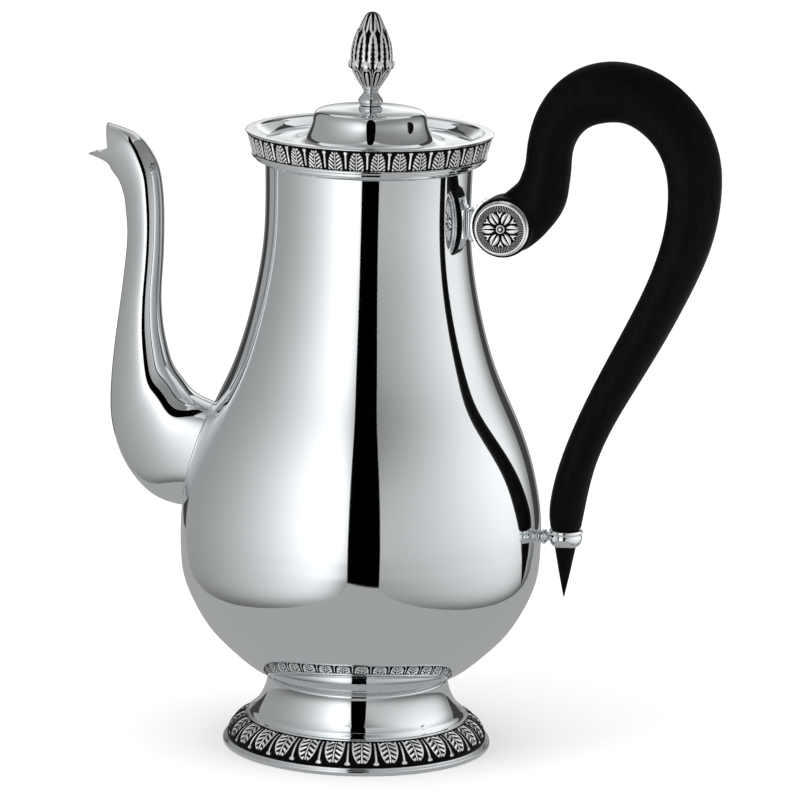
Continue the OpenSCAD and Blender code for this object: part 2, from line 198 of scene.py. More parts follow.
def silver():
    """Mirror-polished silver: hairline polishing marks and a very faint unevenness of the sheet."""
    m, nt, b = new_material("polished_silver")
    co = node(nt, "ShaderNodeTexCoord")
    b.inputs["Base Color"].default_value = (0.895, 0.925, 0.94, 1)
    b.inputs["Metallic"].default_value = 1
    big = node(nt, "ShaderNodeTexNoise", Scale=38.0, Detail=3.0)
    nt.links.new(co.outputs["Object"], big.inputs["Vector"])
    rough = ramp(nt, big.outputs["Fac"], [(0.3, 0.022), (0.75, 0.045)])
    nt.links.new(rough.outputs["Color"], b.inputs["Roughness"])
    stretch = node(nt, "ShaderNodeMapping", Scale=(900.0, 900.0, 9000.0))
    nt.links.new(co.outputs["Object"], stretch.inputs["Vector"])
    hair = node(nt, "ShaderNodeTexNoise", Scale=1.0, Detail=2.0)
    nt.links.new(stretch.outputs["Vector"], hair.inputs["Vector"])
    bump = node(nt, "ShaderNodeBump", Strength=0.012, Distance=0.00005)
    nt.links.new(hair.outputs["Fac"], bump.inputs["Height"])
    nt.links.new(bump.outputs["Normal"], b.inputs["Normal"])
    return m


def oxidised():
    """Cast and chased silver: bright on the high points, blackened in the hollows. Its tone attribute also
    carries painted shade on the bud's second row and painted highlights on the rosette petals.
    """
    m, nt, b = new_material("oxidised_silver")
    co = node(nt, "ShaderNodeTexCoord")
    tone = node(nt, "ShaderNodeAttribute", attribute_name="tone")
    grit = node(nt, "ShaderNodeTexNoise", Scale=2600.0, Detail=3.0)
    nt.links.new(co.outputs["Object"], grit.inputs["Vector"])
    mix = node(nt, "ShaderNodeMath", operation="MULTIPLY_ADD")
    mix.inputs[1].default_value = 0.22
    nt.links.new(grit.outputs["Fac"], mix.inputs[0])
    nt.links.new(tone.outputs["Fac"], mix.inputs[2])
    colour = ramp(
        nt,
        mix.outputs[0],
        [(0.2, (0.004, 0.004, 0.0045, 1)), (0.5, (0.1, 0.1, 0.105, 1)), (0.7, (0.96, 0.965, 0.97, 1))],
    )
    nt.links.new(colour.outputs["Color"], b.inputs["Base Color"])
    rough = ramp(nt, mix.outputs[0], [(0.2, 0.6), (0.7, 0.22)])
    nt.links.new(rough.outputs["Color"], b.inputs["Roughness"])
    b.inputs["Metallic"].default_value = 0.8
    b.inputs["Specular IOR Level"].default_value = 0.2
    bump = node(nt, "ShaderNodeBump", Strength=0.25, Distance=0.00004)
    nt.links.new(grit.outputs["Fac"], bump.inputs["Height"])
    nt.links.new(bump.outputs["Normal"], b.inputs["Normal"])
    return m


def ebony():
    """Ebonised hardwood with a hand-rubbed polish: fine pores along the grain under black stain."""
    m, nt, b = new_material("ebonised_wood")
    co = node(nt, "ShaderNodeTexCoord")
    grain = node(nt, "ShaderNodeMapping", Scale=(500.0, 900.0, 160.0))
    nt.links.new(co.outputs["Object"], grain.inputs["Vector"])
    pores = node(nt, "ShaderNodeTexNoise", Scale=1.0, Detail=5.0, Roughness=0.6)
    nt.links.new(grain.outputs["Vector"], pores.inputs["Vector"])
    stain = [(0.35, (0.0010, 0.0010, 0.0010, 1)), (0.8, (0.0030, 0.0028, 0.0027, 1))]
    colour = ramp(nt, pores.outputs["Fac"], stain)
    nt.links.new(colour.outputs["Color"], b.inputs["Base Color"])
    rough = ramp(nt, pores.outputs["Fac"], [(0.3, 0.5), (0.7, 0.4)])
    nt.links.new(rough.outputs["Color"], b.inputs["Roughness"])
    b.inputs["Specular IOR Level"].default_value = 0.07
    bump = node(nt, "ShaderNodeBump", Strength=0.12, Distance=0.00006)
    nt.links.new(pores.outputs["Fac"], bump.inputs["Height"])
    nt.links.new(bump.outputs["Normal"], b.inputs["Normal"])
    return m


SILVER, RELIEF, EBONY = silver(), oxidised(), ebony()
PLAIN = dict(material=SILVER, slot="polished_silver")
CHASED = dict(material=RELIEF, slot="oxidised_silver")
BLACK = dict(material=EBONY, slot="ebonised_wood")

# ------------------------------------------------------------------------ body
RIM = 235.4
PEAR = [[35.4, 29.0], [38.3, 29.5], [41.4, 31.1], [45.2, 34.05], [50.6, 38.95], [56, 44.5],
        [60.6, 51.1], [64.3, 58.2], [66.9, 65.4], [68.1, 76], [68.1, 88], [66.6, 99], [62.7, 114.5],
        [56.5, 130], [50, 144.5], [44.6, 161.5], [41.1, 177.5], [38.9, 194], [38.5, 208], [38.8, 223]]
pear = natural(PEAR, 200)
BELLY_R = 68.22
pear[:, 0] = np.minimum(pear[:, 0], BELLY_R)
FLOOR = natural([[0.0, 27.4], [14, 27.6], [27, 28.2], [35.4, 29.0]], 24)


def pear_r(z):
    return np.interp(z, pear[:, 1], pear[:, 0])


body_out = np.concatenate([FLOOR[:-1], pear, [[38.85, 227.4], [39.0, 231.2]]])
body_in = offset(body_out, -1.0)[::3][::-1]
body_in[-1] = [0.0, 28.4]
body = turned("body", np.concatenate([body_out, [[38.6, 231.4], [38.2, 231.2]], body_in[1:]]),
              axis_open=True, stands_for=["body_shell"], **PLAIN)


def strainer_holes(ob):
    """The holes through the wall behind the spout, in five staggered rows."""
    bm = bmesh.new()
    for r in range(-2, 3):
        for c in range(-1, 2):
            y, z = 6 * c + (abs(r) % 2) * 3, 106 + 6 * r
            bmesh.ops.create_cone(
                bm, cap_ends=True, segments=24, radius1=2 * MM, radius2=2 * MM, depth=30 * MM,
                matrix=Matrix.Translation((-65 * MM, y * MM, z * MM)) @ Matrix.Rotation(math.pi / 2, 4, "Y"),
            )
    me = bpy.data.meshes.new("drills")
    bm.to_mesh(me)
    bm.free()
    drills = bpy.data.objects.new("drills", me)
    bpy.context.scene.collection.objects.link(drills)
    mod = ob.modifiers.new("drill", "BOOLEAN")
    mod.operation, mod.object, mod.solver = "DIFFERENCE", drills, "EXACT"
    bpy.context.view_layer.update()
    made = bpy.data.meshes.new_from_object(ob.evaluated_get(bpy.context.evaluated_depsgraph_get()))
    ob.modifiers.clear()
    ob.data = made
    bpy.data.objects.remove(drills)


strainer_holes(body)

# --------------------------------------------------------------- rim and seat
turned("rim_moulding", rounded([
    [38.4, RIM - 3.4], [39.6, RIM - 2.45], [41, RIM - 1.5], [42.3, RIM - 0.85], [42.75, RIM - 0.35],
    [42.95, RIM - 0.04], [43.2, RIM], [46.1, RIM],
    [46.5, RIM - 0.3], [46.5, RIM - 0.62], [46.1, RIM - 0.85], [43.4, RIM - 0.85], [41.2, RIM - 2.2],
    [39.1, RIM - 4.0], [38.4, RIM - 4.2]], 0.3), stands_for=["rim_lip"], **PLAIN)
turned("rim_beads", rounded([
    [39.1, RIM - 8.45], [43.5, RIM - 8.45], [43.95, RIM - 8.75], [44.1, RIM - 9.25], [43.8, RIM - 9.75],
    [43.1, RIM - 10.0], [42.5, RIM - 10.05], [42.5, RIM - 10.35], [42.7, RIM - 10.7], [42.4, RIM - 11.1],
    [41.7, RIM - 11.25], [41.2, RIM - 11.3], [40.2, RIM - 11.7], [39.3, RIM - 12.3], [38.8, RIM - 12.9],
    [38.75, RIM - 9], [38.9, RIM - 8.45]], 0.22), stands_for=["rim_bead"], **PLAIN)


# -------------------------------------------------------------- leaf borders
def palmette(u, v, half, tip, slope, count, edge, phase=0.25):
    """Bright parts of one leaf: u across in tile widths, v from base (0) to tip (1)."""
    w = half * (1 - np.clip(v, 0, 1) ** tip) ** 0.52
    au = np.abs(u)
    q = au / np.maximum(w, 1e-3)
    lobe = 0.5 + 0.5 * np.cos(TAU * (count * (v - slope * au) + phase))
    leaflet = ss(0.52 - 0.42 * q, 0.80 - 0.38 * q, lobe)
    leaflet = np.maximum(leaflet, ss(0.74, 0.9, q) * edge)
    leaflet = leaflet * ss(0.040, 0.066, au)
    rib = ss(0.030, 0.014, au) * ss(0.98, 0.9, v)
    inside = ss(0, 0.022, w - au) * (v < 1) * (v > 0)
    return np.maximum(leaflet, rib) * inside, inside * (1 - 0.55 * q * q)


def dart(u, v, stem, head, top):
    """The bar between two leaves, with a small spreading head."""
    d = np.abs(np.abs(u) - 0.5)
    w = stem * (0.75 + 0.25 * v)
    w = w + (head - w) * ss(top - 0.13, top - 0.03, v) * ss(top + 0.05, top + 0.01, v)
    return ss(0.014, -0.012, d - w) * (v > 0.04) * (v < top + 0.04)


def border(name, face, back, tiles, start, columns, relief, leaf, bar, rows=40, **kw):
    """A ring whose outer face carries a row of leaves and darts in real relief."""
    P = even(natural(face, 200), rows)
    N = normals(P)
    v = np.linspace(-0.05, 1.05, rows)
    n = tiles * columns
    u = (np.arange(n) % columns) / columns - 0.5  # -0.5 and 0.5 are the darts
    U, V = np.meshgrid(u, v, indexing="ij")
    bright, swell = palmette(U, V, **leaf)
    bars = dart(U, V, **bar)
    h = np.maximum(0.42 * swell + 0.58 * bright, bars) * relief
    tone = np.maximum(bright, bars)
    edge = ss(0, 0.04, (V + 0.05) / 1.1) * ss(0, 0.04, 1 - (V + 0.05) / 1.1)
    h, tone = h * edge, tone * edge
    th = math.radians(start) + np.arange(n) * TAU / n
    m = rows + len(back)
    R, Z = np.zeros((n, m)), np.zeros((n, m))
    R[:, :rows] = P[:, 0] + h * N[:, 0]
    Z[:, :rows] = P[:, 1] + h * N[:, 1]
    R[:, rows:] = [p[0] for p in back]
    Z[:, rows:] = [p[1] for p in back]
    T = np.zeros((n, m))
    T[:, :rows] = tone
    X = np.stack([np.cos(th)[:, None] * R, np.sin(th)[:, None] * R, Z], -1)
    return piece(name, X, quads(n, m), RELIEF, "oxidised_silver", tone=T, **kw)


border("rim_leaves", [[43.3, RIM - 8.4], [43.9, RIM - 6.4], [44.7, RIM - 3.4], [45.4, RIM - 0.9]],
       [[41.3, RIM - 2.3], [39.4, RIM - 4.1], [39.1, RIM - 5], [39.1, RIM - 8.4]],
       35, 3.74, 44, 0.55,
       dict(half=0.34, tip=2.6, slope=0.95, count=4.7, edge=0.25),
       dict(stem=0.045, head=0.085, top=0.93), stands_for=["rim_leaf_band"])
FOOT_FACE = [[41.9, 10.95], [43.2, 10.4], [45.2, 9.35], [47.3, 7.4], [48.65, 5.2], [49.2, 3.5]]
border("foot_leaves", FOOT_FACE,
       [[49.2, 2.9], [48.0, 2.9], [47.6, 4.9], [46.4, 6.8], [44.4, 8.6], [42.5, 9.6], [40.9, 10.25],
        [41.3, 11.2]],
       28, 8.67, 56, 0.55,
       dict(half=0.375, tip=2.7, slope=0.7, count=4.6, edge=1.0),
       dict(stem=0.034, head=0.09, top=1.0), rows=52, stands_for=["foot_leaf_ring"])

# ----------------------------------------------------------------------- foot
turned("foot_collar_ring", rounded([
    [32.2, 28.7], [33.8, 28.8], [35.2, 28.95], [35.4, 28.6], [35.25, 28.15], [34.75, 27.65], [34.3, 27.5],
    [33.95, 27.3], [33.6, 26.7], [32.2, 26.7]], 0.25), stands_for=["foot_collar"], **PLAIN)
flare = natural([[33.3, 26.65], [33.4, 24.2], [34.1, 21], [35.6, 17.4], [37.8, 14], [40.6, 11.5]], 60)
flare_in = offset(flare, -1.0)[::4][::-1]
turned("foot_flare", np.concatenate([
    flare, rounded([[40.6, 11.5], [41.3, 11.75], [42.1, 11.55], [42.3, 11.1], [41.9, 10.8], [41.2, 10.7]],
                   0.25, closed=False)[1:], flare_in]), stands_for=["foot_pedestal"], **PLAIN)
turned("foot_plinth_ring", rounded([
    [47.45, 0], [50.55, 0], [50.85, 0.3], [50.85, 1.45], [50.55, 1.8], [50.0, 1.85], [49.85, 1.95],
    [50.1, 2.2], [50.1, 2.5], [49.8, 2.75], [49.2, 2.85], [47.75, 2.7], [47.45, 2]], 0.18),
       stands_for=["foot_plinth"], **PLAIN)

# ---------------------------------------------------------------------- spout
SPOUT = [[-66, 107.6, 21.1, 14.6, 73.6], [-73.8, 111.4, 21.6, 14.8, 70.4], [-80.3, 117.8, 20.9, 14.3, 63.7],
         [-84.8, 125.2, 19.1, 13.4, 57.6], [-87.2, 133.6, 16.6, 12.3, 49.5], [-87.9, 141.3, 13.9, 11.1, 41.8],
         [-88, 149.3, 11.15, 9.8, 31], [-87.7, 157.8, 8.9, 8.6, 14.7], [-87.3, 166.3, 7.8, 7.7, 5.5],
         [-86.2, 181, 7.24, 7.2, 3.5], [-85.8, 194, 7.03, 7, 3.4], [-86.3, 202, 7.35, 7, 8],
         [-86.9, 207.5, 7.65, 7, 20], [-87.9, 211.9, 8.3, 6.9, 33], [-90.1, 216.9, 8.45, 6.8, 40],
         [-93.5, 221.3, 8.5, 6.5, 46], [-97.25, 224.2, 7.7, 6, 56.4]]
SM = 112
phi = np.arange(SM) * TAU / SM


def spout_ring(k, t):
    a = math.radians(k[4])
    h, w = (k[2] - t) * np.sin(phi), (k[3] - t) * np.cos(phi)
    return np.stack([k[0] + h * math.cos(a), -w, k[1] + h * math.sin(a)], 1)


def on_body(ring, d):
    """The ring carried straight along X onto the body, d outside its skin."""
    r = pear_r(ring[:, 2]) + d
    return np.stack([-np.sqrt(r * r - ring[:, 1] ** 2), ring[:, 1], ring[:, 2]], 1)


def beak(t):
    s, y = np.sin(phi), -(5.4 - t) * np.cos(phi)
    up = s >= 0
    low = np.maximum(-s, 0)
    return np.stack([
        np.where(up, -99.8 - 1.3 * s, -99.8 - (8.8 - 2 * t) * low**1.3), y,
        np.where(up, 223.5 + (9.4 - t) * s, 223.5 - (3 - t) * low**0.8)], 1)


def spout_skin(t, n):
    rings = [on_body(spout_ring(SPOUT[0], t), -0.3)] + [spout_ring(k, t) for k in SPOUT[1:]] + [beak(t)]
    mid = np.array([[-62, 106.5]] + [k[:2] for k in SPOUT[1:]] + [[-101.6, 225.6]], float)
    s = np.r_[0, np.cumsum(np.sqrt((np.diff(mid, axis=0) ** 2).sum(1)))]
    return natural(np.array(rings).reshape(len(rings), -1), n, s).reshape(n, SM, 3)


outer, inner = spout_skin(0, 200), spout_skin(1.0, 90)[::-1]
lip = 0.5 * (outer[-1] + inner[0]) + 0.15 * (outer[-1] - outer[-2])
root = 0.5 * (outer[0] + inner[-1])
rings = np.concatenate([outer, [lip], inner, [root]])
piece("spout_tube", rings, quads(len(rings), SM), SILVER, "polished_silver", stands_for=["spout"])

seam = on_body(spout_ring(SPOUT[0], -0.1), 0.05)
tangent = np.roll(seam, -1, 0) - np.roll(seam, 1, 0)
tangent /= np.linalg.norm(tangent, axis=1)[:, None]
out = np.stack([seam[:, 0], seam[:, 1], np.zeros(SM)], 1)
out /= np.linalg.norm(out, axis=1)[:, None]
side = np.cross(tangent, out)
ang = np.arange(12) * TAU / 12
SOLDER_R = 0.55
ca, sa = np.cos(ang)[None, :, None], np.sin(ang)[None, :, None]
tube = seam[:, None, :] + SOLDER_R * (ca * out[:, None, :] + sa * side[:, None, :])
piece("spout_solder_line", tube, quads(SM, 12), SILVER, "polished_silver", stands_for=["spout_flange"])

# --------------------------------------------------------------------- handle
SCROLL_X, SCROLL_Z, SCROLL_R, SCROLL_T = 52.3, 202.6, 11.3, 7.2
GRIP = [[53.6, 202.4, 10.9, 6.8], [57.5, 205.4, 10.9, 7], [62.4, 210.3, 10.4, 7.1], [65.2, 214.1, 10, 7.2],
        [66.9, 219.6, 9.3, 7.2], [67.9, 225, 8.75, 7.25], [68.3, 231, 8.6, 7.3], [70.6, 240.4, 9.1, 7.4],
        [77, 249.3, 10.3, 7.6], [87, 254.2, 11.3, 7.8], [98.5, 254.2, 11.2, 7.9], [109.5, 248.8, 11.1, 7.9],
        [117.5, 240, 10.8, 7.8], [121.9, 229.8, 10.5, 7.7], [123.1, 217, 9.95, 7.5], [121.2, 202, 9.3, 7.3],
        [115.6, 185, 8.4, 7.1], [107, 166.3, 7.9, 6.9], [97.5, 148, 7.4, 6.6], [88.8, 130.4, 6.75, 6.4],
        [82.6, 114, 6.6, 6.3], [79.6, 101, 6.75, 6.3], [78.7, 93, 6.35, 6.1], [78.7, 88.6, 5.7, 5.7]]


def closed_loft(R):
    """Rings joined and closed at both ends by shrinking the last ring to its middle."""
    m = R.shape[1]
    R = np.concatenate([[np.repeat(R[:1].mean(1), m, 0)], R, [np.repeat(R[-1:].mean(1), m, 0)]])
    return R, quads(len(R), R.shape[1], False, True)


def handle():
    C = natural(GRIP, 150)
    d = np.gradient(C[:, :2], axis=0)
    d /= np.linalg.norm(d, axis=1)[:, None]
    a = np.arange(56) * TAU / 56
    ca, sa = np.cos(a), np.sin(a)
    ex = np.sign(ca) * np.abs(ca) ** 0.94, np.sign(sa) * np.abs(sa) ** 0.94
    across = C[:, 2:3] * ex[0]
    R = np.stack([C[:, 0:1] - d[:, 1:2] * across, C[:, 3:4] * ex[1], C[:, 1:2] + d[:, 0:1] * across], -1)
    V1, F1 = closed_loft(R)
    V1 = V1.reshape(-1, 3)
    prof = np.array([[0, -SCROLL_T], [SCROLL_R - 0.5, -SCROLL_T], [SCROLL_R, -SCROLL_T + 0.5],
                     [SCROLL_R, SCROLL_T - 0.5], [SCROLL_R - 0.5, SCROLL_T], [0, SCROLL_T]])
    th = np.arange(96) * TAU / 96
    V2 = np.stack([SCROLL_X + np.outer(np.cos(th), prof[:, 0]), np.tile(prof[:, 1], (96, 1)),
                   SCROLL_Z + np.outer(np.sin(th), prof[:, 0])], -1).reshape(-1, 3)
    F2 = quads(96, len(prof), True, False)
    if volume(V1, F1) < 0:
        F1 = F1[:, ::-1]
    if volume(V2, F2) < 0:
        F2 = F2[:, ::-1]
    V = np.concatenate([V1, V2])
    F = np.concatenate([F1, F2 + len(V1)])
    me = bpy.data.meshes.new("grip")
    me.from_pydata((V * MM).tolist(), [], F.tolist())
    bm = bmesh.new()
    bm.from_mesh(me)
    bmesh.ops.remove_doubles(bm, verts=bm.verts, dist=1e-7)
    bm.to_mesh(me)
    bm.free()
    ob = bpy.data.objects.new("grip", me)
    bpy.context.scene.collection.objects.link(ob)
    re = ob.modifiers.new("skin", "REMESH")
    re.mode, re.voxel_size, re.use_smooth_shade = "VOXEL", 0.62 * MM, True
    sm = ob.modifiers.new("ease", "SMOOTH")
    sm.factor, sm.iterations = 0.5, 10
    bpy.context.view_layer.update()
    made = bpy.data.meshes.new_from_object(ob.evaluated_get(bpy.context.evaluated_depsgraph_get()))
    ob.modifiers.clear()
    ob.data = made
    made.polygons.foreach_set("use_smooth", [True] * len(made.polygons))
    made.materials.clear()
    made.materials.append(EBONY)
    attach(ob, "pot")
    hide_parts("handle_grip")
    return ob


handle()


def rosette(name, facing, stands_for):
    """Carved boss: split petals, small fleurs, fine flutes and a plain rim on a deeper disc."""
    n = 720
    r = np.r_[np.linspace(0.0, 8.75, 84), np.linspace(8.82, 9.55, 12)]
    th = np.arange(n) * TAU / n
    A, Q = np.meshgrid(th, r, indexing="ij")
    base = 2.2
    flutes = (0.5 + 0.5 * np.cos(80 * A)) * ss(6.5, 6.8, Q) * ss(8.95, 8.8, Q)
    h = base + 0.3 * flutes
    tone = 0.55 * ss(0.5, 0.95, flutes)
    turn = math.radians(3)
    k = (A - turn + math.radians(30)) % math.radians(60) - math.radians(30)
    x, y = Q * np.cos(k), Q * np.sin(k)
    t = (x - 2.1) / 4.9
    w = 1.62 * np.clip(4 * t * (1 - t), 0, 1) ** 0.6
    inside = ss(0.0, 0.14, w - np.abs(y)) * (t > 0) * (t < 1)
    split = ss(0.08, 0.22, np.abs(y) - 0.3 * (1 - t))
    fold = ss(0.02, 0.14, np.abs(np.abs(y) - 0.55 * w))
    bulge = np.sqrt(np.clip(1 - ((np.abs(y) - 0.5 * w) / (0.55 * w + 0.01)) ** 2, 0, 1))
    petal = base + 0.05 + inside * (0.28 + 0.36 * bulge - 0.1 * (1 - fold))
    h = np.where(inside > 0, np.maximum(h, petal), h)
    lit = np.maximum(fold * ss(0.3, 0.9, t) + ss(0.7, 0.4, t), ss(0.32, 0.16, w - np.abs(y)))
    tone = np.maximum(tone * (1 - inside), inside * split * (0.35 + 0.65 * lit))
    k2 = (A - turn) % math.radians(60) - math.radians(30)
    x2, y2 = Q * np.cos(k2), Q * np.sin(k2)
    s = (x2 - 4.5) / 2.0
    stem = ss(0.05, -0.12, np.abs(y2) - 0.24) * (s > 0) * (s < 0.75)
    arms = ss(0.05, -0.12, np.abs(np.abs(y2) - 0.75 * ss(0.1, 1.0, s)) - 0.28) * (s > 0.25) * (s < 1)
    fleur = np.maximum(stem, arms)
    h, tone = np.maximum(h, base + 0.5 * fleur), np.maximum(tone, fleur)
    boss = np.sqrt(np.clip(1 - (Q / 1.7) ** 2, 0, 1))
    h = np.maximum(h, base + 0.7 * boss + 0.1 * ss(1.2, 1.5, Q) * ss(1.8, 1.6, Q))
    tone = np.where(Q < 1.7, 0.3 + 0.3 * ss(0.9, 0.2, Q) + 0.35 * ss(1.15, 1.35, Q) * ss(1.7, 1.55, Q), tone)
    ring = ss(8.8, 9.0, Q)
    h = h * (1 - ring) + ring * (base + 0.6 - 0.35 * ((Q - 9.25) / 0.3) ** 2 * (Q > 9.25) * 0.5)
    tone = np.maximum(tone, ring)
    side = [(9.62, base + 0.2), (9.7, 1.5), (10.15, 0.9), (10.3, 0.5), (10.3, 0.02), (0.0, 0.02)]
    m = len(r)
    X = np.zeros((n, m + len(side), 3))
    X[:, :m, 0], X[:, :m, 1], X[:, :m, 2] = Q * np.cos(A), Q * np.sin(A), h
    T = np.ones((n, m + len(side)))
    T[:, :m] = tone
    for j, (rr, hh) in enumerate(side):
        X[:, m + j] = np.stack([rr * np.cos(th), rr * np.sin(th), np.full(n, hh)], 1)
    T[:, m + 1] = 0.3
    V = np.stack([SCROLL_X + X[..., 0] * facing, -facing * (SCROLL_T + X[..., 2]), SCROLL_Z + X[..., 1]], -1)
    return piece(name, V, quads(n, m + len(side), True, False), RELIEF, "oxidised_silver", tone=T, merge=True,
                 stands_for=stands_for)


rosette("rosette_near", 1, ["rosette_front"])
rosette("rosette_far", -1, ["rosette_back"])


def socket():
    """The cup that clasps the scroll, and the arm that carries it, as two polished pieces."""
    a = np.radians(np.linspace(129, 231, 60))
    half = 4.7
    ri, ro = SCROLL_R + 0.05, SCROLL_R + 1.15
    sec = rounded([[ri, -half], [ro, -half], [ro, half], [ri, half]], 0.22)
    ends = np.sqrt(np.clip(np.minimum(a - a[0], a[-1] - a) / math.radians(4), 0, 1))
    V = []
    for t, e in zip(a, ends):
        rr = ri + (sec[:, 0] - ri) * (0.25 + 0.75 * e)
        V.append(np.stack([SCROLL_X + rr * math.cos(t), sec[:, 1], SCROLL_Z + rr * math.sin(t)], 1))
    V = np.array(V)
    V, F = closed_loft(V)
    piece("scroll_cup", V, F, merge=True, stands_for=["socket_cup"], **PLAIN)
    s = np.linspace(0, 1, 24)
    x = 37.6 + s * 3.1
    hz = 6.4 - 0.9 * np.sin(math.pi * s) + 0.25 * (s - 0.5)
    hy = 4.7 - 0.5 * np.sin(math.pi * s)
    sq = rounded([[-1, -1], [1, -1], [1, 1], [-1, 1]], 0.16)
    along = np.broadcast_to(x[:, None], (24, len(sq)))
    V = np.stack([along, hy[:, None] * sq[:, 0], SCROLL_Z + hz[:, None] * sq[:, 1]], -1)
    V, F = closed_loft(V)
    piece("scroll_arm", V, F, merge=True, stands_for=["socket_arm"], **PLAIN)


socket()

FX, FZ = 78.7, 85.1


def at_ferrule(V):
    return V + np.array([FX, 0, FZ])


def along_x(x0):
    def go(V):
        return np.stack([x0 + V[..., 2], V[..., 1], FZ + V[..., 0]], -1)
    return go


turned("ferrule_cup", rounded([
    [1.6, -3.1], [4.2, -3.1], [4.75, -2.95], [5.3, -2.5], [5.8, -1.7], [6.15, -0.7], [6.25, 0.2], [6.1, 0.9],
    [5.8, 1.35], [5.75, 1.55], [6.1, 1.75], [6.4, 2.15], [6.45, 2.6], [6.2, 3.1], [5.75, 3.4], [1.6, 3.4]], 0.2),
       n=96, place=at_ferrule, stands_for=["ferrule"], **PLAIN)
turned("drop_tip", np.concatenate([
    even([[0.0, -22.8], [0.22, -22.5], [2.15, -13.2], [3.95, -3.6]], 40), [[3.9, -3.15], [0.0, -3.12]]]),
       n=96, axis_open=True, place=at_ferrule, stands_for=["handle_tip"], **BLACK)
turned("link_ball", rounded([[0.0, 0.0], [1.3, 0.0], [2.0, 0.3], [2.65, 0.9], [2.85, 1.5], [2.65, 2.1],
                             [1.9, 2.6], [1.5, 2.9], [1.6, 3.3], [0.0, 3.3]], 0.25, closed=False),
       n=72, axis_open=True, place=along_x(69.1), stands_for=["link_bead"], **PLAIN)
turned("link_disc",
       rounded([[0.0, -1.2], [2.5, -1.2], [2.6, 0.75], [2.1, 1.1], [0.0, 1.1]], 0.3, closed=False),
       n=72, axis_open=True, place=along_x(68.0), stands_for=["link_foot"], **PLAIN)

# ------------------------------------------------------------------------ lid
dome = natural([[32, RIM - 3.5], [27.2, RIM - 3.45], [24.2, RIM - 2], [22.4, RIM + 0.6], [21.5, RIM + 3.2],
                [21.1, RIM + 5.6], [20.2, RIM + 7.1], [18.2, RIM + 7.95], [12, RIM + 8.75], [6, RIM + 9.3],
                [1.8, RIM + 9.6]], 150)
lid_in = offset(dome, 0.9)[::5][::-1] if normals(dome)[75][0] < 0 else offset(dome, -0.9)[::5][::-1]
turned("lid_dome", np.concatenate([
    rounded([[37.9, RIM - 4.0], [38.1, RIM - 3.9], [38.1, RIM - 3.4], [37.8, RIM - 3.25], [32, RIM - 3.5]],
            0.12, closed=False)[:-1], dome, lid_in]), body="lid", stands_for=["lid_shell"], **PLAIN)
FB = RIM + 9.65
turned("knop", rounded([
    [1.5, FB], [3.9, FB - 0.1], [4.25, FB + 0.15], [4.15, FB + 0.55], [4.55, FB + 0.95], [4.65, FB + 1.5],
    [4.55, FB + 2.1], [4.15, FB + 2.8], [3.5, FB + 3.6], [2.95, FB + 4.3], [2.8, FB + 4.8], [1.5, FB + 4.8]],
                       0.3), n=120, body="lid", stands_for=["finial_base"], **PLAIN)
FW = RIM + 14.5
turned("waist_ring", rounded([
    [1.5, FW], [2.75, FW], [2.7, FW + 0.4], [2.9, FW + 1], [3.4, FW + 1.45], [3.5, FW + 1.9],
    [3.35, FW + 2.3], [1.5, FW + 2.3]], 0.2), n=120, body="lid", stands_for=["finial_waist"], **PLAIN)


def calyx():
    """Cup of ten fluted leaves whose tops curl over."""
    n, tiles = 480, 10
    z0 = RIM + 16.85
    P = natural([[3.3, z0], [4.6, z0 + 1.9], [5.9, z0 + 4], [7.0, z0 + 6.2], [7.5, z0 + 7.8],
                 [7.45, z0 + 8.7], [7.1, z0 + 9.2], [6.3, z0 + 9.5]], 96)
    N = normals(P)
    v = (P[:, 1] - z0) / 8.9
    v[np.argmax(P[:, 1] >= z0 + 8.7):] = np.linspace(0.98, 1.16, len(v) - np.argmax(P[:, 1] >= z0 + 8.7))
    th = math.radians(15.6 + 18) + np.arange(n) * TAU / n
    u = (np.arange(n) % (n // tiles)) / (n // tiles) - 0.5
    U, V = np.meshgrid(u, v, indexing="ij")
    au = np.abs(U)
    wo = 0.40 * (1 - np.clip(V / 0.80, 0, 1) ** 5) ** 0.5
    wi = 0.17 * (1 - np.clip(V / 0.68, 0, 1) ** 5) ** 0.5
    below = ss(0.84, 0.78, V)
    outer_u = np.where(V < 0.80, ss(0.066, 0.026, np.abs(au - wo)), 0)
    outer_u = outer_u + ss(0.06, 0.0, np.abs(V - 0.80)) * ss(0.3, 0.2, au)
    outer_u = np.clip(outer_u, 0, 1)
    tongue = ss(0.0, -0.045, au - wi) * ss(0.70, 0.62, V)
    hood = np.sqrt(np.clip(1 - ((V - 0.93) / 0.24) ** 2 - (au / 0.43) ** 2.2, 0, 1))
    rib = ss(0.035, 0.012, 0.5 - au) * ss(0.86, 0.75, V)
    h = np.maximum.reduce([0.45 * outer_u * below, 0.5 * tongue, 1.15 * hood, 0.2 * rib])
    crease = ss(0.10, 0.04, np.abs(au - 0.22)) * ss(0.98, 0.88, V)
    curl = ss(0.3, 0.6, hood) * (1 - 0.8 * crease)
    tone = np.maximum.reduce([outer_u * below, tongue * 0.95, curl, rib * 0.8])
    fade = ss(0.0, 0.03, V)
    h, tone = h * fade, np.maximum(tone * fade, ss(0.03, 0.0, V))
    back = [[1.5, z0 + 9.4], [1.5, z0]]
    m = len(P) + 2
    R, Z, T = np.zeros((n, m)), np.zeros((n, m)), np.zeros((n, m))
    R[:, :-2], Z[:, :-2], T[:, :-2] = P[:, 0] + h * N[:, 0], P[:, 1] + h * N[:, 1], tone
    R[:, -2:], Z[:, -2:] = [p[0] for p in back], [p[1] for p in back]
    X = np.stack([np.cos(th)[:, None] * R, np.sin(th)[:, None] * R, Z], -1)
    piece("leaf_cup", X, quads(n, m), body="lid", tone=T, stands_for=["finial_calyx"], **CHASED)


calyx()


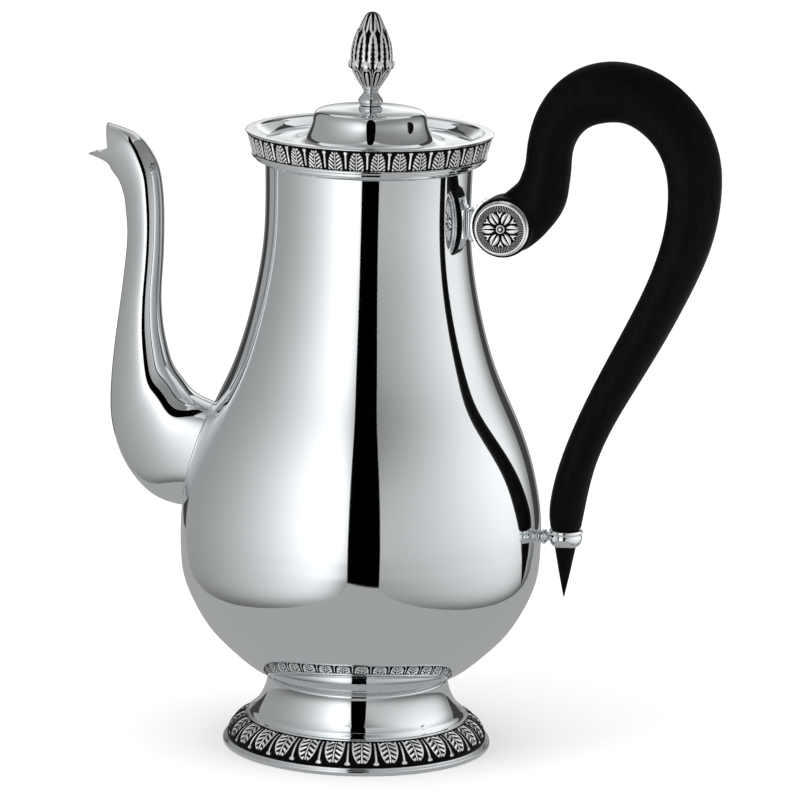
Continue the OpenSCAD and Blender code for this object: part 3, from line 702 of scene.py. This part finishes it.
def bud():
    """Closed bud: ten pointed leaves over a second row that meets at the tip."""
    n, tiles = 480, 10
    prof = even(natural([[7.0, 261.2], [7.1, 264], [6.9, 266], [6.55, 268], [6.05, 270], [5.4, 271.8],
                         [4.75, 273.7], [4.05, 275.6], [3.3, 277.2], [2.4, 278.8], [1.3, 279.7],
                         [0.0, 280.0]], 300), 140)
    N = normals(prof)
    z = prof[:, 1]
    th = math.radians(34 + 18) + np.arange(n) * TAU / n
    u = (np.arange(n) % (n // tiles)) / (n // tiles) - 0.5
    U, Z = np.meshgrid(u, z, indexing="ij")
    t = (Z - 261.2) / (273.6 - 261.2)
    w = 0.43 * (1 - np.clip(t, 0, 1) ** 4.5) ** 0.62 * (1 - 0.05 * np.cos(TAU * 4.5 * t))
    au = np.abs(U)
    inside = ss(-0.01, 0.035, w - au) * (t < 1)
    notches = 1 + 0.35 * np.sign(np.sin(TAU * 7 * t + 0.6)) * 0.5
    core = 0.15 * (1 - np.clip(t / 0.86, 0, 1) ** 3) ** 0.7 * notches
    vein = ss(0.03, -0.02, au - core) * (t < 0.88)
    low_h = inside * (0.62 + 0.2 * ss(0, 0.2, w - au)) - 0.22 * vein * inside
    low_tone = inside * ss(0.02, 0.07, w - au) * (1 - 0.9 * vein)
    bu = 0.5 - au  # distance from the middle of a second-row leaf
    t2 = np.clip((Z - 262) / (279.6 - 262), 0, 1)
    w2 = 0.42 * (1 - t2**6) ** 0.6
    up_in = ss(0.0, 0.06, w2 - bu)
    core2 = ss(0.10, 0.05, bu) * ss(0.98, 0.9, t2)
    up_h = up_in * 0.3 * (1 - 0.3 * core2)
    up_tone = up_in * (0.95 - 0.52 * ss(0.2, 0.05, bu) * ss(0.97, 0.86, t2))
    shade = ss(0.0, 0.12, t - 1 + 0.5 * bu)  # the second row lies in shadow beside the first row's tips
    h = np.maximum(low_h, up_h * 0.9)
    tone = np.where(inside > 0.5, low_tone, up_tone * shade)
    close = ss(0.0, 1.6, prof[:, 0])[None, :]
    h = h * close
    m = len(prof) + 1
    R, ZZ, T = np.zeros((n, m)), np.zeros((n, m)), np.zeros((n, m))
    R[:, 1:] = np.maximum(prof[:, 0] + h * N[:, 0], 0)
    ZZ[:, 1:] = prof[:, 1] + np.minimum(h * N[:, 1], 0.0)
    T[:, 1:] = tone
    R[:, 0], ZZ[:, 0] = 0, 261.2
    R[:, -1] = 0
    X = np.stack([np.cos(th)[:, None] * R, np.sin(th)[:, None] * R, ZZ], -1)
    piece("bud", X, quads(n, m, True, False), RELIEF, "oxidised_silver", body="lid", tone=T, merge=True,
          stands_for=["finial_bud"])


bud()

for name in ("lid_seat", "scroll_pin", "ferrule_screw", "lid_bezel", "finial_stud", "finial_nut"):
    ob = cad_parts[name]
    ob.data.materials.clear()
    ob.data.materials.append(SILVER)


# --------------------------------------------------------------------- studio
def toward(deg):
    """Unit direction at a bearing from the camera's own, positive to the right of the picture."""
    a = math.radians(VIEW_AZ - 90 + deg)
    return np.array([math.cos(a), math.sin(a), 0.0])


def emitter(name, build):
    m = bpy.data.materials.new(name)
    m.use_nodes = True
    nt = m.node_tree
    nt.nodes.clear()
    out = nt.nodes.new("ShaderNodeOutputMaterial")
    em = nt.nodes.new("ShaderNodeEmission")
    nt.links.new(em.outputs[0], out.inputs["Surface"])
    build(nt, em)
    return m


def card(name, a, b, low, high, mat, only_mirror=True):
    """An upright card between two points on the floor, given in metres."""
    me = bpy.data.meshes.new(name)
    V = [(a[0], a[1], low), (b[0], b[1], low), (b[0], b[1], high), (a[0], a[1], high)]
    me.from_pydata(V, [], [(0, 1, 2, 3)])
    uv = me.uv_layers.new(name="UVMap")
    for k, c in enumerate([(0, 0), (1, 0), (1, 1), (0, 1)]):
        uv.data[k].uv = c
    me.materials.append(mat)
    ob = bpy.data.objects.new(name, me)
    bpy.context.scene.collection.objects.link(ob)
    if only_mirror:
        ob.visible_camera = ob.visible_diffuse = ob.visible_shadow = ob.visible_transmission = False
    return ob


def wall(normal_deg, dist, near_deg, far_deg):
    """End points of a flat wall square to the bearing normal_deg, from bearing near_deg to far_deg."""
    n = toward(normal_deg)
    side = toward(normal_deg + 90)
    def at(deg):
        return n * dist + side * dist * math.tan(math.radians(deg - normal_deg))
    return at(near_deg), at(far_deg)


def glow(length, height, base, spots):
    """A screen lit by soft round pools of light: (x, z, radius x, radius z, strength) in metres."""
    def build(nt, em):
        uv = node(nt, "ShaderNodeTexCoord")
        sep = nt.nodes.new("ShaderNodeSeparateXYZ")
        nt.links.new(uv.outputs["UV"], sep.inputs[0])
        total = None
        for x, z, rx, rz, power in spots:
            def axis(sock, size, centre, rad):
                s = node(nt, "ShaderNodeMath", operation="MULTIPLY_ADD")
                s.inputs[1].default_value, s.inputs[2].default_value = size / rad, -centre / rad
                nt.links.new(sock, s.inputs[0])
                q = node(nt, "ShaderNodeMath", operation="MULTIPLY")
                nt.links.new(s.outputs[0], q.inputs[0])
                nt.links.new(s.outputs[0], q.inputs[1])
                return q
            qx, qz = axis(sep.outputs[0], length, x, rx), axis(sep.outputs[1], height, z, rz)
            add = node(nt, "ShaderNodeMath", operation="ADD")
            nt.links.new(qx.outputs[0], add.inputs[0])
            nt.links.new(qz.outputs[0], add.inputs[1])
            neg = node(nt, "ShaderNodeMath", operation="MULTIPLY")
            neg.inputs[1].default_value = -1
            nt.links.new(add.outputs[0], neg.inputs[0])
            ex = node(nt, "ShaderNodeMath", operation="EXPONENT")
            nt.links.new(neg.outputs[0], ex.inputs[0])
            sc = node(nt, "ShaderNodeMath", operation="MULTIPLY_ADD")
            sc.inputs[1].default_value = power
            nt.links.new(ex.outputs[0], sc.inputs[0])
            if total is None:
                sc.inputs[2].default_value = base
            else:
                nt.links.new(total, sc.inputs[2])
            total = sc.outputs[0]
        floor_at = node(nt, "ShaderNodeMath", operation="MAXIMUM")
        floor_at.inputs[1].default_value = 0.0
        nt.links.new(total, floor_at.inputs[0])
        nt.links.new(floor_at.outputs[0], em.inputs["Strength"])
    return build


def plain_glow(strength):
    return lambda nt, em: setattr(em.inputs["Strength"], "default_value", strength)


def studio():
    la, lb = wall(-70, 0.140, -6.75, -140)
    llen = float(np.linalg.norm(lb - la))
    ra, rb = wall(70, 0.152, 11.25, 138)
    rlen = float(np.linalg.norm(rb - ra))
    tall = 0.62
    card("screen_left", la, lb, 0, tall, emitter("screen_left", glow(
        llen, tall, 0.325, [(0.10, 0.15, 0.129, 0.19, 1.08), (0.12, 0.0, 0.2, 0.028, -0.5)])))
    card("screen_right", ra, rb, 0, tall, emitter("screen_right", glow(
        rlen, tall, 0.216, [(0.10, 0.11, 0.4, 0.15, 0.29), (0.32, 0.13, 0.13, 0.12, 0.62),
                            (0.32, 0.0, 0.2, 0.028, -0.4)])))
    black = emitter("gap", plain_glow(0.0))
    dim = emitter("dim_gap", plain_glow(0.05))
    card("camera_gap", la * 1.02, ra * 1.02, 0, 1.3, black)
    card("back_screen", toward(-155) * 0.5, toward(155) * 0.5, 0, 0.62, emitter("back_screen", glow(
        0.423, 0.62, 0.20, [(0.21, 0.335, 0.6, 0.065, 0.68), (0.36, 0.42, 0.16, 0.3, 0.35)])))
    card("back_left_gap", lb, toward(-155) * 0.5, 0, tall, dim)
    card("back_right_gap", rb, toward(155) * 0.5, 0, tall, dim)
    k = 0.75
    over = card("ceiling", (-k, -k), (k, -k), 0, 1, emitter("ceiling", glow(
        2 * k, 2 * k, 0.85, [(k, k, 0.22, 0.22, -0.6)])))
    for v, (x, y) in zip(over.data.vertices, ((-k, -k), (k, -k), (k, k), (-k, k))):
        v.co = (x, y, tall)
    slot_over = card("gap_overhead", la, ra, 0, 1, black)
    for v, p in zip(slot_over.data.vertices, (la * 1.02, ra * 1.02, ra * 0.25, la * 0.25)):
        v.co = (p[0], p[1], tall - 0.004)

    floor = bpy.data.meshes.new("floor")
    k = 7.0
    floor.from_pydata([(-k, -k, 0), (k, -k, 0), (k, k, 0), (-k, k, 0)], [], [(0, 1, 2, 3)])
    for name, grey, mirror in (("floor", 0.98, False), ("table_in_mirror", 0.36, True)):
        m, nt, b = new_material(name)
        co = node(nt, "ShaderNodeTexCoord")
        mottle = node(nt, "ShaderNodeTexNoise", Scale=0.8, Detail=2.0)
        nt.links.new(co.outputs["Object"], mottle.inputs["Vector"])
        tint = ramp(nt, mottle.outputs["Fac"], [(0.0, (grey * 0.99,) * 3 + (1,)), (1.0, (grey,) * 3 + (1,))])
        nt.links.new(tint.outputs["Color"], b.inputs["Base Color"])
        b.inputs["Roughness"].default_value = 0.9
        b.inputs["Specular IOR Level"].default_value = 0.0
        me = floor.copy()
        me.materials.append(m)
        ob = bpy.data.objects.new(name, me)
        bpy.context.scene.collection.objects.link(ob)
        if mirror:
            ob.location.z = -0.0002
            ob.visible_camera = ob.visible_diffuse = ob.visible_shadow = ob.visible_transmission = False
        else:
            ob.visible_glossy = False

    world = bpy.data.worlds.new("studio")
    bpy.context.scene.world = world
    world.use_nodes = True
    bg = world.node_tree.nodes["Background"]
    bg.inputs["Color"].default_value = (1, 1, 1, 1)
    bg.inputs["Strength"].default_value = 1.07

    lamps = (("key", -50, 1.3, 1.2, 0.9, 7.0), ("fill", 75, 1.5, 0.9, 1.1, 4.0))
    for name, bearing, dist, height, size, power in lamps:
        lamp = bpy.data.lights.new(name, "AREA")
        lamp.shape, lamp.size, lamp.energy = "DISK", size, power
        ob = bpy.data.objects.new(name, lamp)
        ob.location = Vector(toward(bearing) * dist) + Vector((0, 0, height))
        ob.rotation_euler = (Vector((0, 0, 0.12)) - ob.location).to_track_quat("-Z", "Y").to_euler()
        ob.visible_camera = ob.visible_glossy = False
        bpy.context.scene.collection.objects.link(ob)


studio()


def camera():
    az, el, roll = math.radians(VIEW_AZ), VIEW_EL, VIEW_ROLL
    target = Vector((13.595 * math.cos(az), 13.595 * math.sin(az), 133.06)) * MM
    back = Vector((math.sin(az) * math.cos(el), -math.cos(az) * math.cos(el), math.sin(el)))
    right = Vector((math.cos(az), math.sin(az), 0))
    up = back.cross(right)
    r2 = right * math.cos(roll) + up * math.sin(roll)
    u2 = up * math.cos(roll) - right * math.sin(roll)
    cam = bpy.data.cameras.new("camera")
    cam.lens, cam.sensor_width = VIEW_LENS, 36
    cam.clip_start, cam.clip_end = 0.05, 30
    ob = bpy.data.objects.new("camera", cam)
    m = Matrix((r2, u2, back)).transposed().to_4x4()
    m.translation = target + back * VIEW_DISTANCE
    ob.matrix_world = m
    bpy.context.scene.collection.objects.link(ob)
    bpy.context.scene.camera = ob


camera()
bpy.context.scene.view_settings.view_transform = "Standard"
